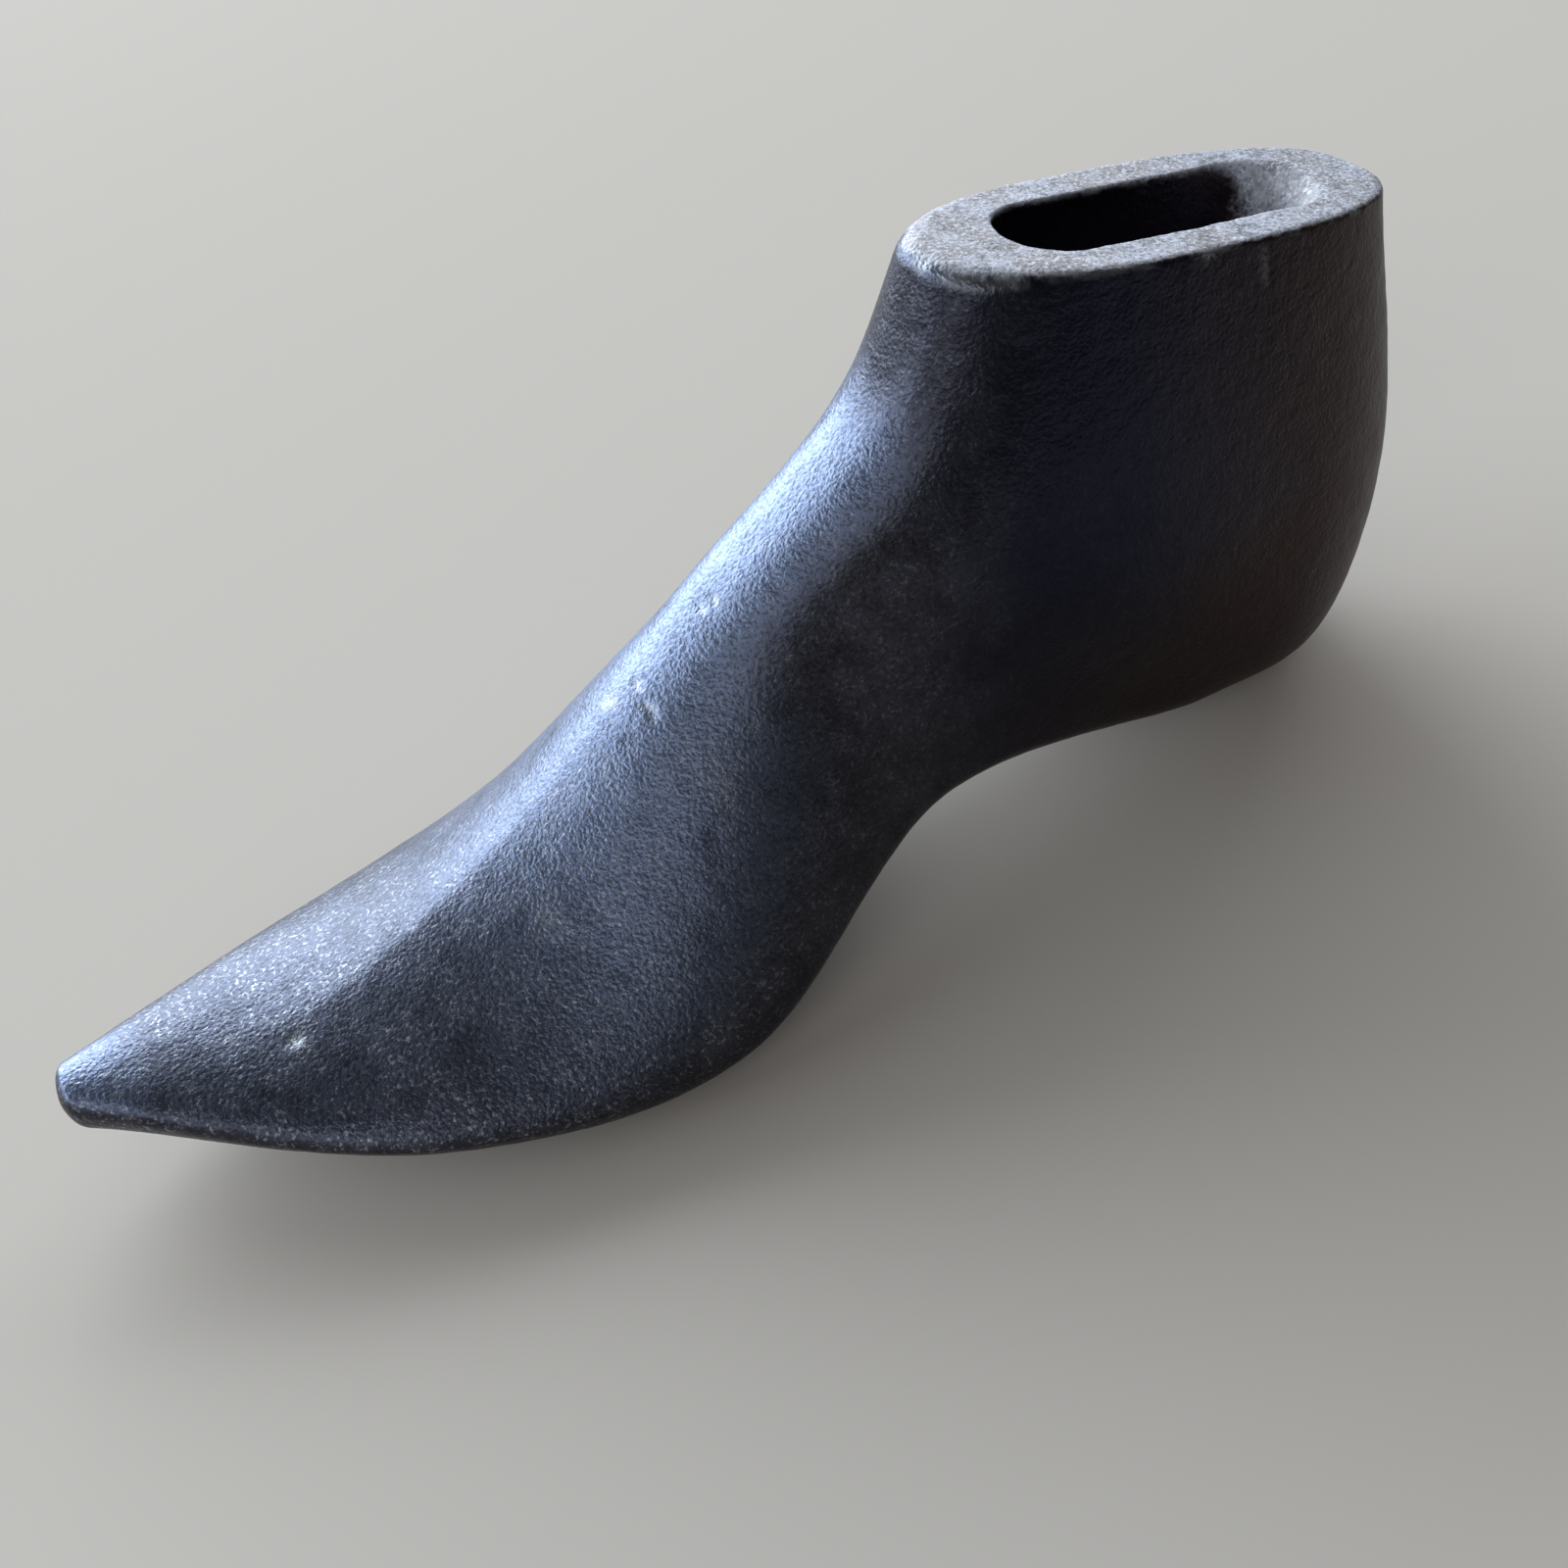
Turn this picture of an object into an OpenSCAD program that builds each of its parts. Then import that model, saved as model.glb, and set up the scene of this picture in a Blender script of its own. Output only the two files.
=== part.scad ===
// Cast-iron shoe last for a cobbler's stand: one solid casting shaped like a foot, with a
// flat oval rim at the ankle and an oblong socket that drops over the post of a stand.
// X runs from heel to toe, Y towards the outer side of the foot, Z up. The last stands on
// its sole, and the origin is under its middle.

/* [Overall] */
// Length from the back of the heel to the end of the toe
last_l = 238.5; // [220:0.5:260]
// Height of the front of the rim, the highest point, over the seat of the heel
last_h = 97; // [92:0.5:108]

/* [Rim] */
// Length of the rim along the foot
rim_l = 81; // [74:0.5:86]
// Width of the rim across the foot
rim_w = 31; // [27:0.5:40]
// How far the back of the rim lies forward of the back of the heel
rim_set_in = 7.5; // [4:0.5:12]
// Rise of the rim towards the toe, in degrees
rim_tilt = 10; // [4:0.5:14]

/* [Post socket] */
// Length of the socket's mouth
socket_l = 53; // [40:0.5:58]
// Width of the socket
socket_w = 16.5; // [12:0.5:20]
// Depth of the socket, square to the rim
socket_depth = 60; // [30:1:66]
// Metal left between the back of the rim and the socket
socket_back_wall = 14; // [9:0.5:18]

/* [Heel] */
// Height at which the heel reaches furthest back
heel_h = 36; // [30:0.5:42]
// Half-width of the heel there, on the outer side
heel_outer = 23; // [20:0.5:28]
// Half-width of the heel there, on the inner side
heel_inner = 22; // [20:0.5:28]
// How far the back of the seat lies forward of the back of the heel
seat_set_in = 9.5; // [6:0.5:13]
// Height of the back edge of the seat
seat_edge_h = 4.5; // [3:0.5:7]
// Half-width of the heel on the line of the seat's back edge, on the outer side
seat_edge_outer = 25.5; // [22:0.5:29]
// Half-width of the heel on that line, on the inner side
seat_edge_inner = 22; // [20:0.5:28]
// Distance of the seat's middle from the back of the heel
seat_x = 35.5; // [30:0.5:42]
// Half-width of the seat on the outer side
seat_outer = 22.5; // [21:0.5:29]
// Half-width of the seat on the inner side
seat_inner = 21.5; // [19:0.5:27]

/* [Waist] */
// Distance of the top of the arch from the back of the heel
waist_x = 95; // [86:0.5:102]
// Height of the arch under the waist
arch_h = 15.5; // [8:0.5:20]
// Half-width of the waist on the outer side
waist_outer = 24; // [20:0.5:29]
// Half-width of the waist on the inner side
waist_inner = 24.5; // [20:0.5:29]

/* [Ball] */
// Distance of the ball of the foot from the back of the heel
ball_x = 144; // [136:0.5:152]
// Half-width of the ball on the outer side
ball_outer = 38.5; // [33:0.5:43]
// Half-width of the ball on the inner side
ball_inner = 32.5; // [28:0.5:37]

/* [Toes] */
// Distance of the toe section from the back of the heel
toes_x = 190.5; // [184:0.5:198]
// Height of the sole under the toe section
toes_h = 3.5; // [1:0.5:6]
// Half-width of the toes on the outer side
toes_outer = 29; // [25:0.5:33]
// Half-width of the toes on the inner side
toes_inner = 26.5; // [22:0.5:30]

/* [Toe tip] */
// Height of the sole at the tip, the toe spring
tip_spring = 10; // [5:0.5:14]
// Thickness of the tip
tip_h = 9; // [6:0.5:12]
// Width of the tip
tip_w = 11; // [8:0.5:15]
// How far the tip swings towards the inner side
tip_swing = 6; // [0:0.5:10]
// Length of the rounded edge round the blunt end
nose_l = 2; // [1:0.5:5]

/* [Top line] */
// Place of the throat, where the ankle turns into the instep
throat_x = 96.5; // [93:0.5:100]
// Height of the throat
throat_h = 79; // [76:0.5:80]
// Place of the upper instep
high_instep_x = 108; // [105:0.5:111]
// Height of the upper instep
high_instep_h = 68.5; // [66.5:0.5:70.5]
// Place of the middle of the instep
instep_x = 122.5; // [119:0.5:125]
// Height of the middle of the instep
instep_h = 57.5; // [55.5:0.5:60]
// Place of the lower instep
low_instep_x = 139; // [136:0.5:142]
// Height of the lower instep
low_instep_h = 45.5; // [43:0.5:48]
// Place of the vamp over the ball
vamp_x = 168; // [163:0.5:172]
// Height of the vamp
vamp_h = 27.5; // [25:0.5:30]
// Place of the top of the toes
toe_top_x = 201.5; // [196:0.5:206]
// Height of the top of the toes
toe_top_h = 18; // [16.5:0.5:21]

/* [Hidden] */

// Points round a section, rows between two stations, and rows over the nose
around = 48;
rows = 8;
nose_rows = 4;

// Shape of each section, from the rim to the tip: the side offset of its ridge, the share of
// its height at which it is widest, and the squareness of its curve below and above that
// (2 is an ellipse)
ridge = [0, 1, -0.5, -3, -3, -1, 2, -tip_swing];
belly = [0.55, 0.34, 0.27, 0.28, 0.32, 0.30, 0.36, 0.50];
square_below = [2.8, 2.2, 2.2, 2.9, 3.6, 3.8, 4.2, 2.2];
square_above = [2.5, 2.7, 2.7, 2.7, 2.1, 1.6, 1.6, 2.3];

// Squareness of the nose, and the share by which it narrows over its length
nose_square = 2.6;
nose_taper = 0.3;

// Rim line in the side view
rim_along = [cos(rim_tilt), sin(rim_tilt)];
rim_back = [rim_set_in, last_h - rim_l * rim_along[1]];
rim_front = rim_back + rim_l * rim_along;
tip_x = last_l - nose_l;

// Stations from the rim, round the heel and along the sole to the tip. Each has a point
// on the sole side, a point on the top line, and the half-widths on the outer and inner
// sides
places = [
    [rim_back, rim_front, rim_w / 2, rim_w / 2],
    [[0, heel_h], [throat_x, throat_h], heel_outer, heel_inner],
    [[seat_set_in, seat_edge_h], [high_instep_x, high_instep_h], seat_edge_outer, seat_edge_inner],
    [[seat_x, 0], [instep_x, instep_h], seat_outer, seat_inner],
    [[waist_x, arch_h], [low_instep_x, low_instep_h], waist_outer, waist_inner],
    [[ball_x, 0], [vamp_x, vamp_h], ball_outer, ball_inner],
    [[toes_x, toes_h], [toe_top_x, toe_top_h], toes_outer, toes_inner],
    [[tip_x, tip_spring], [tip_x, tip_spring + tip_h], tip_w / 2 - tip_swing, tip_w / 2 + tip_swing]
];
stations = [
    for (i = [0 : len(places) - 1])
        concat(places[i], ridge[i], belly[i], square_below[i], square_above[i])
];
spans = len(stations) - 1;

// Smooth curve through b and c, where a and d lie before and after them
function curve(a, b, c, d, u) =
    (2 * b + (c - a) * u + (2 * a - 5 * b + 4 * c - d) * u * u
        + (3 * b - 3 * c + d - a) * u * u * u) / 2;

// Stations before and after a span, carried straight on past either end
function before(i) = i == 0 ? 2 * stations[0] - stations[1] : stations[i - 1];
function after(i) = i == spans - 1 ? 2 * stations[spans] - stations[spans - 1] : stations[i + 2];

// Station at any place t along the last, where whole numbers are the stations themselves
function station_at(t) =
    let (i = max(0, min(spans - 1, floor(t))))
    curve(before(i), stations[i], stations[i + 1], after(i), t - i);

// Point of a section at an angle: -90 is on the sole, 0 on the outer side, 90 on the top line
function section_point(s, angle) =
    let (
        rise = sin(angle),
        out = cos(angle),
        power = 2 / (rise < 0 ? s[6] : s[7]),
        share = rise < 0
            ? s[5] * (1 - pow(-rise, power))
            : s[5] + (1 - s[5]) * pow(rise, power),
        side = out >= 0 ? s[2] - s[4] : s[3] + s[4],
        place = s[0] + (s[1] - s[0]) * share
    )
    [place[0], s[4] + sign(out) * side * pow(abs(out), power), place[1]];

function section(s) =
    [for (k = [0 : around - 1]) section_point(s, 360 * k / around - 90)];

// Places of the rows. The rim's plane falls between the first two
row_places = concat(
    [for (j = [0 : rows]) (j - 0.5) / rows],
    [for (k = [rows : spans * rows]) k / rows]
);
body_rows = [for (t = row_places) section(station_at(t))];

// Rows that close over the nose
tip_centre = [tip_x, -tip_swing, tip_spring + tip_h / 2];
nose = [
    for (j = [1 : nose_rows - 1])
        let (
            a = 90 * j / nose_rows,
            gone = pow(sin(a), 2 / nose_square),
            left = pow(cos(a), 2 / nose_square) * (1 - nose_taper * gone)
        )
        [for (p = body_rows[len(body_rows) - 1])
            tip_centre + (p - tip_centre) * left + [nose_l * gone, 0, 0]]
];
skin_rows = concat(body_rows, nose);
skin = concat([for (r = skin_rows) each r], [tip_centre + [nose_l, 0, 0]]);

// Faces: a flat lid above the rim, a band between each two rows, and a fan at the tip
row_count = len(skin_rows);
function at(r, k) = r * around + k % around;
lid = [[for (k = [0 : around - 1]) at(0, k)]];
bands = [
    for (r = [0 : row_count - 2], k = [0 : around - 1])
        each [
            [at(r, k), at(r + 1, k), at(r + 1, k + 1)],
            [at(r, k), at(r + 1, k + 1), at(r, k + 1)]
        ]
];
fan = [
    for (k = [0 : around - 1])
        [at(row_count - 1, k), row_count * around, at(row_count - 1, k + 1)]
];

// Place of the casting over the origin
xs = [for (p = skin) p[0]];
ys = [for (p = skin) p[1]];
zs = [for (p = skin) p[2]];
to_origin = [-(min(xs) + max(xs)) / 2, -(min(ys) + max(ys)) / 2, -min(zs)];

// Solid foot, before the rim is cut and the socket cored
module foot_blank() {
    polyhedron(points = skin, faces = concat(lid, bands, fan), convexity = 6);
}

// Moves what is drawn on the rim's plane, with X towards the toe, to the back of the rim
module on_rim() {
    translate([rim_back[0], 0, rim_back[1]])
        rotate([0, -rim_tilt, 0])
            children();
}

// Oblong outline with round ends, from the origin along X
module oblong(length, width) {
    translate([width / 2, 0])
        circle(d = width, $fn = 64);
    translate([length - width / 2, 0])
        circle(d = width, $fn = 64);
    translate([width / 2, -width / 2])
        square([length - width, width]);
}

module last_casting() {
    color("#3a3c42")
        translate(to_origin)
            difference() {
                foot_blank();
                on_rim()
                    translate([-rim_l, -rim_l, 0])
                        cube([3 * rim_l, 2 * rim_l, rim_l]);
                on_rim()
                    translate([socket_back_wall, 0, -socket_depth])
                        linear_extrude(socket_depth + rim_l)
                            oblong(socket_l, socket_w);
            }
}

last_casting();
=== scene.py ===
"""Looks of a cast-iron shoe last: one weathered casting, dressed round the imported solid."""

import logging
import math
from dataclasses import dataclass, field
from enum import Enum

import bpy
import numpy as np
from mathutils import Matrix, Vector

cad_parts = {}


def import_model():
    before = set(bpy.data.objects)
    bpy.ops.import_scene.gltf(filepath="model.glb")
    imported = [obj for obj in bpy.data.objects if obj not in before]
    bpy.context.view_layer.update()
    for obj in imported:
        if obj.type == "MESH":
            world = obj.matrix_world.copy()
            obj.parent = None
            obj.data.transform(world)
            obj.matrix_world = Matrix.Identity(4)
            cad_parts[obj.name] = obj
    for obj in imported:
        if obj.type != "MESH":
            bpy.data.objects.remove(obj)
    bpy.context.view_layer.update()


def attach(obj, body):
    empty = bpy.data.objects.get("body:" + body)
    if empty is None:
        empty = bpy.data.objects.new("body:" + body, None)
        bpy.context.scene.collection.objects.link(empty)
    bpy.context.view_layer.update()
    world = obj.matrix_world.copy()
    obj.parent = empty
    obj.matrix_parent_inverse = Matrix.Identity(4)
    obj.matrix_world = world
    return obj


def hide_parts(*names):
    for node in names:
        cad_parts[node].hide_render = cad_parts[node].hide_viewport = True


LOG = logging.getLogger("shoe_last")

MM = 0.001
CASTING_NODE = "last_casting"
IRON_SLOT = "blackened_iron"

# Where the rows of the skin begin under the rim, and the least step to the next, in stations
FIRST_ROW = 0.32
LEAST_STEP = 0.01
# Points of the fine path from which each half of a ring is spaced
FINE_POINTS = 481
# Reach of a mark along the normal, and widths of a crescent's arc and a scratch, in millimetres
MARK_REACH = 4.0
ARC_WIDTH = 0.75
SCRATCH_WIDTH = 0.6
# How many times longer than wide a rubbed patch is
RUB_STRETCH = 2.2

Colour = tuple[float, float, float]
Triple = tuple[float, float, float]


class Zone(Enum):
    """Painted zones of the casting, each an attribute that runs from 0 to 1."""

    RIM = "rim_face"
    EDGE = "worn_edge"
    SOCKET = "socket_depth"
    HEEL = "heel_rust"
    CREST = "crest_wear_and_sheen"
    ANKLE = "ankle_shade_and_knots"
    DING = "ding"


class Mark(Enum):
    """Shapes that a blow or a flaw leaves in the iron."""

    PIT = "pit"
    CRESCENT = "crescent"
    SCRATCH = "scratch"
    RUB = "rub"


ZoneValues = dict[Zone, float | np.ndarray]


@dataclass(frozen=True)
class Station:
    """One section of the foot: where it lies and how its curve runs, in millimetres."""

    sole: tuple[float, float]
    top: tuple[float, float]
    outer: float
    inner: float
    ridge: float
    belly: float
    square_below: float
    square_above: float

    def row(self) -> np.ndarray:
        """The ten numbers of the station in one row, so that stations can be blended."""
        return np.array(
            [*self.sole, *self.top, self.outer, self.inner, self.ridge,
             self.belly, self.square_below, self.square_above]
        )


@dataclass
class FootForm:
    """The lofted foot: stations from the rim round the heel and along the sole to the tip."""

    height: float = 97.0
    rim_set_in: float = 7.5
    rim_length: float = 81.0
    rim_tilt: float = 10.0
    rim_width: float = 31.0
    tip_x: float = 236.5
    tip_spring: float = 10.0
    tip_height: float = 9.0
    tip_width: float = 11.0
    tip_swing: float = 6.0
    nose_length: float = 2.0
    nose_square: float = 2.6
    nose_taper: float = 0.3
    around: int = 224
    span_rows: tuple[int, ...] = (48, 36, 28, 60, 52, 48, 46)
    nose_rows: int = 12
    # Moves the form so that the origin lies under the middle of its box
    shift: Triple = (-119.25, -3.0488, 0.9639)

    def __post_init__(self) -> None:
        """Blends need the stations as rows of numbers, so they are kept that way."""
        self.rows = np.array([s.row() for s in self.stations()])
        self.spans = len(self.rows) - 1

    @property
    def rim_along(self) -> np.ndarray:
        """Direction of the rim in the side view, from its back to its front."""
        tilt = math.radians(self.rim_tilt)
        return np.array([math.cos(tilt), math.sin(tilt)])

    @property
    def rim_back(self) -> tuple[float, float]:
        """Back end of the rim in the side view."""
        return self.rim_set_in, self.height - self.rim_length * float(self.rim_along[1])

    def stations(self) -> list[Station]:
        """The eight measured sections.

        Returns:
            Stations in order, from the rim to the tip of the toe.
        """
        back = self.rim_back
        front = tuple(np.array(back) + self.rim_length * self.rim_along)
        half = self.rim_width / 2
        tip = self.tip_width / 2
        tip_top = self.tip_spring + self.tip_height
        return [
            Station(back, front, half, half, 0.0, 0.55, 2.8, 2.5),
            Station((0.0, 36.0), (96.5, 79.0), 23.0, 22.0, 1.0, 0.34, 2.2, 2.7),
            Station((9.5, 4.5), (108.0, 68.5), 25.5, 22.0, -0.5, 0.27, 2.2, 2.7),
            Station((35.5, 0.0), (122.5, 57.5), 22.5, 21.5, -3.0, 0.28, 2.9, 2.7),
            Station((95.0, 15.5), (139.0, 45.5), 24.0, 24.5, -3.0, 0.32, 3.6, 2.1),
            Station((144.0, 0.0), (168.0, 27.5), 38.5, 32.5, -1.0, 0.30, 3.8, 1.6),
            Station((190.5, 3.5), (201.5, 18.0), 29.0, 26.5, 2.0, 0.36, 4.2, 1.6),
            Station((self.tip_x, self.tip_spring), (self.tip_x, tip_top), tip - self.tip_swing,
                    tip + self.tip_swing, -self.tip_swing, 0.50, 2.2, 2.3),
        ]

    def station_at(self, t: float) -> np.ndarray:
        """Section at any place along the last, on a smooth curve through the stations.

        Args:
            t: Place along the last, where whole numbers are the stations themselves.

        Returns:
            The ten numbers of the section.
        """
        i = max(0, min(self.spans - 1, math.floor(t)))
        u = t - i
        b, c = self.rows[i], self.rows[i + 1]
        a = self.rows[i - 1] if i > 0 else 2 * b - c
        d = self.rows[i + 2] if i < self.spans - 1 else 2 * c - b
        return (2 * b + (c - a) * u + (2 * a - 5 * b + 4 * c - d) * u**2
                + (3 * b - 3 * c + d - a) * u**3) / 2

    def section(self, row: np.ndarray, angles: np.ndarray) -> np.ndarray:
        """Points of a section.

        Args:
            row: The ten numbers of the section.
            angles: Angles in radians; -90 degrees is on the sole and 0 on the outer side.

        Returns:
            One point for each angle, in millimetres.
        """
        sole, top = row[0:2], row[2:4]
        outer, inner, ridge, belly, below, above = row[4:]
        rise, out = np.sin(angles), np.cos(angles)
        power = 2 / np.where(rise < 0, below, above)
        lift = np.abs(rise) ** power
        share = np.where(rise < 0, belly * (1 - lift), belly + (1 - belly) * lift)
        side = np.where(out >= 0, outer - ridge, inner + ridge)
        across = ridge + np.sign(out) * side * np.abs(out) ** power
        place = sole + (top - sole) * share[:, None]
        return np.stack([place[:, 0], across, place[:, 1]], axis=1) + np.array(self.shift)

    def ring(self, t: float) -> np.ndarray:
        """Points round the last at one place, evenly spaced up each side.

        Args:
            t: Place along the last.

        Returns:
            Points from the sole line up the outer side, over the top line and down again.
        """
        row = self.station_at(t)
        quarter = math.pi / 2
        ease = -quarter * np.cos(np.linspace(0, math.pi, FINE_POINTS))
        halves = []
        for turn in (0.0, math.pi):
            fine = self.section(row, ease + turn)
            halves.append(evenly_spaced(fine, self.around // 2))
        return np.concatenate(halves)

    def skin_rows(self, first: float) -> list[np.ndarray]:
        """Rings from a place near the rim to the end of the toe.

        Args:
            first: Place of the first ring.

        Returns:
            Rings in order, with those over the rounded nose at the end.
        """
        places = [first]
        for i, count in enumerate(self.span_rows):
            steps = [i + j / count for j in range(count)]
            places += [t for t in steps if t > first + LEAST_STEP]
        places.append(float(self.spans))
        rings = [self.ring(t) for t in places]
        centre = self.tip_centre()
        for j in range(1, self.nose_rows):
            a = math.pi / 2 * j / self.nose_rows
            gone = math.sin(a) ** (2 / self.nose_square)
            left = math.cos(a) ** (2 / self.nose_square) * (1 - self.nose_taper * gone)
            forward = np.array([self.nose_length * gone, 0.0, 0.0])
            rings.append(centre + (rings[len(places) - 1] - centre) * left + forward)
        return rings

    def tip_centre(self) -> np.ndarray:
        """Middle of the last section, behind the rounded nose."""
        middle = np.array([self.tip_x, -self.tip_swing, self.tip_spring + self.tip_height / 2])
        return middle + np.array(self.shift)

    def nose_end(self) -> np.ndarray:
        """The foremost point of the toe."""
        return self.tip_centre() + np.array([self.nose_length, 0.0, 0.0])


def evenly_spaced(path: np.ndarray, count: int) -> np.ndarray:
    """Points at even steps along a path, without its last point.

    Args:
        path: Points of the path.
        count: How many points to take.

    Returns:
        The new points.
    """
    steps = np.linalg.norm(np.diff(path, axis=0), axis=1)
    length = np.concatenate([[0.0], np.cumsum(steps)])
    wanted = np.linspace(0.0, length[-1], count + 1)[:-1]
    return np.stack([np.interp(wanted, length, path[:, i]) for i in range(3)], axis=1)


def slope(value: np.ndarray, low: float, high: float) -> np.ndarray:
    """A straight rise from 0 at low to 1 at high, flat past either end."""
    return np.clip((value - low) / (high - low), 0.0, 1.0)


def soft(share: np.ndarray) -> np.ndarray:
    """A share from 0 to 1 with both its ends eased."""
    return share * share * (3.0 - 2.0 * share)


def hump(value: np.ndarray, middle: float, spread: float) -> np.ndarray:
    """A round hump, 1 at its middle, that fades to either side."""
    return np.exp(-(((value - middle) / spread) ** 2))


def bend(start: np.ndarray, corner: np.ndarray, end: np.ndarray, count: int) -> list[np.ndarray]:
    """Rings that round off a corner.

    Args:
        start: Ring where the round begins.
        corner: Ring of the sharp corner.
        end: Ring where the round ends.
        count: How many steps the round has.

    Returns:
        Rings from start to end, both included.
    """
    steps = np.linspace(0.0, 1.0, count + 1)
    return [(1 - u) ** 2 * start + 2 * u * (1 - u) * corner + u**2 * end for u in steps]


@dataclass
class PostSocket:
    """The flat rim and the oblong socket in it, on the rim's own plane.

    Lengths are in millimetres. Places and spreads of the wear count round the rim, from 0 at the
    heel end to 1 at the front.
    """

    form: FootForm
    length: float = 53.0
    width: float = 16.5
    depth: float = 60.0
    back_wall: float = 14.0
    edge_round: float = 1.1
    front_wear: float = 1.9
    front_place: float = 0.93
    front_spread: float = 0.13
    lip_round: float = 0.6
    lip_flare: float = 4.6
    flare_spread: float = 0.13
    lip_drop: float = 1.9
    worn_and_lit_depth: float = 0.45
    shade_rate: float = 2.2
    floor_round: float = 3.0
    bulge: float = 0.5
    bulge_place: float = 0.52
    bulge_spread: float = 11.0
    floor_shares: tuple[float, ...] = (0.12, 0.3, 0.5, 0.7, 0.88)
    corner_rows: int = 4
    wall_rows: int = 41
    edge_rows: int = 6
    face_rows: int = 11
    under_rows: int = 13
    end_points: int = 60

    def plane(self) -> tuple[np.ndarray, np.ndarray, np.ndarray]:
        """The rim's plane.

        Returns:
            The back of the rim, the direction towards its front, and its outward normal.
        """
        x, z = self.form.rim_back
        c, s = self.form.rim_along
        origin = np.array([x, 0.0, z]) + np.array(self.form.shift)
        return origin, np.array([c, 0.0, s]), np.array([-s, 0.0, c])

    def outline(self) -> np.ndarray:
        """Ring of the socket's mouth, from its back end round the bulged outer side.

        Returns:
            Points of the ring, in millimetres.
        """
        origin, along, _ = self.plane()
        r = self.width / 2
        turn = np.linspace(0.0, math.pi / 2, self.end_points)
        back = np.stack([r - r * np.cos(turn), r * np.sin(turn)], axis=1)
        front = np.stack([self.length - back[::-1, 0], back[::-1, 1]], axis=1)
        half = np.concatenate([back, front])
        ring = []
        for path in (half, half[::-1] * np.array([1.0, -1.0])):
            flat = np.stack([path[:, 0] + self.back_wall, path[:, 1], 0 * path[:, 0]], axis=1)
            ring.append(evenly_spaced(flat, self.form.around // 2))
        flat = np.concatenate(ring)
        bulged = self.back_wall + self.bulge_place * self.length
        swell = hump(flat[:, 0], bulged, self.bulge_spread)
        flat[:, 1] += self.bulge * swell * np.clip(flat[:, 1] / r, 0.0, 1.0)
        return origin + flat[:, :1] * along + flat[:, 1:2] * np.array([0.0, 1.0, 0.0])

    def outward(self, ring: np.ndarray) -> np.ndarray:
        """Directions out of a ring that lies in the rim's plane.

        Args:
            ring: Points of the ring.

        Returns:
            One direction for each point.
        """
        _, _, normal = self.plane()
        run = np.roll(ring, -1, axis=0) - np.roll(ring, 1, axis=0)
        out = np.cross(normal, run)
        out *= np.sign(np.sum(out * (ring - ring.mean(axis=0))))
        return out / np.linalg.norm(out, axis=1)[:, None]

    def from_heel(self) -> np.ndarray:
        """How far round the rim each point lies.

        Returns:
            One share for each point, 0 at the heel end and 1 at the front.
        """
        count = self.form.around
        steps = np.arange(count)
        return (np.minimum(steps, count - steps) / (count / 2))[:, None]

    def lip(self) -> np.ndarray:
        """Round of the socket's lip at each point, worn most at the heel end."""
        return self.lip_round + self.lip_flare * self.flare()

    def flare(self) -> np.ndarray:
        """How much of the heel end's wear each point of the lip has, from 0 to 1."""
        return hump(self.from_heel(), 0.0, self.flare_spread)

    def edge(self) -> np.ndarray:
        """Round of the rim's outer edge at each point, worn most at the front."""
        worn = hump(self.from_heel(), self.front_place, self.front_spread)
        return self.edge_round + self.front_wear * worn

    def rings(self) -> list[tuple[np.ndarray, ZoneValues]]:
        """Rings from the socket's floor up to the mouth and across the rim face.

        Returns:
            Rings with the values of the zones that each one carries.
        """
        _, _, normal = self.plane()
        mouth = self.outline()
        out = self.outward(mouth)
        lip, flare = self.lip(), self.flare()[:, 0]
        wall_top = mouth - normal * lip * self.lip_drop
        wall_end = mouth - normal * (self.depth - self.floor_round)
        corner = mouth - normal * self.depth
        floor = corner - out * self.floor_round
        centre = floor.mean(axis=0)
        made: list[tuple[np.ndarray, ZoneValues]] = []
        for u in self.floor_shares:
            made.append((centre + (floor - centre) * u, {Zone.SOCKET: 1.0}))
        for ring in bend(floor, corner, wall_end, self.corner_rows):
            made.append((ring, {Zone.SOCKET: 1.0}))
        for u in np.linspace(0.0, 1.0, self.wall_rows + 1)[1:-1]:
            # The rim's grey runs down the heel end of the wall: worn lip near the mouth, painted
            # light lower down on the wall that faces the lamps
            grey = flare * max(0.0, 1.0 - (1.0 - u) / self.worn_and_lit_depth)
            # Deeper rings get more of the socket's painted light in the finish
            shade = min(1.0, (1.0 - u) * self.shade_rate)
            made.append((wall_end + (wall_top - wall_end) * u,
                         {Zone.SOCKET: shade, Zone.RIM: grey}))
        face_in = mouth + out * lip
        for i, ring in enumerate(bend(wall_top, mouth, face_in, self.edge_rows)):
            share = i / self.edge_rows
            grey = share + (1.0 - share) * flare
            made.append((ring, {Zone.RIM: grey, Zone.EDGE: math.sin(math.pi * share)}))
        rim = self.form.ring(0.0)
        face_out = rim - self.outward(rim) * self.edge()
        for u in np.linspace(0.0, 1.0, self.face_rows + 1)[1:-1]:
            made.append((face_in + (face_out - face_in) * u, {Zone.RIM: 1.0}))
        under = self.below_rim()
        for i, ring in enumerate(bend(face_out, rim, under[0], self.edge_rows)):
            share = i / self.edge_rows
            made.append((ring, {Zone.RIM: 1 - share, Zone.EDGE: math.sin(math.pi * share)}))
        for ring in under[1:]:
            made.append((ring, {}))
        return made

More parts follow.
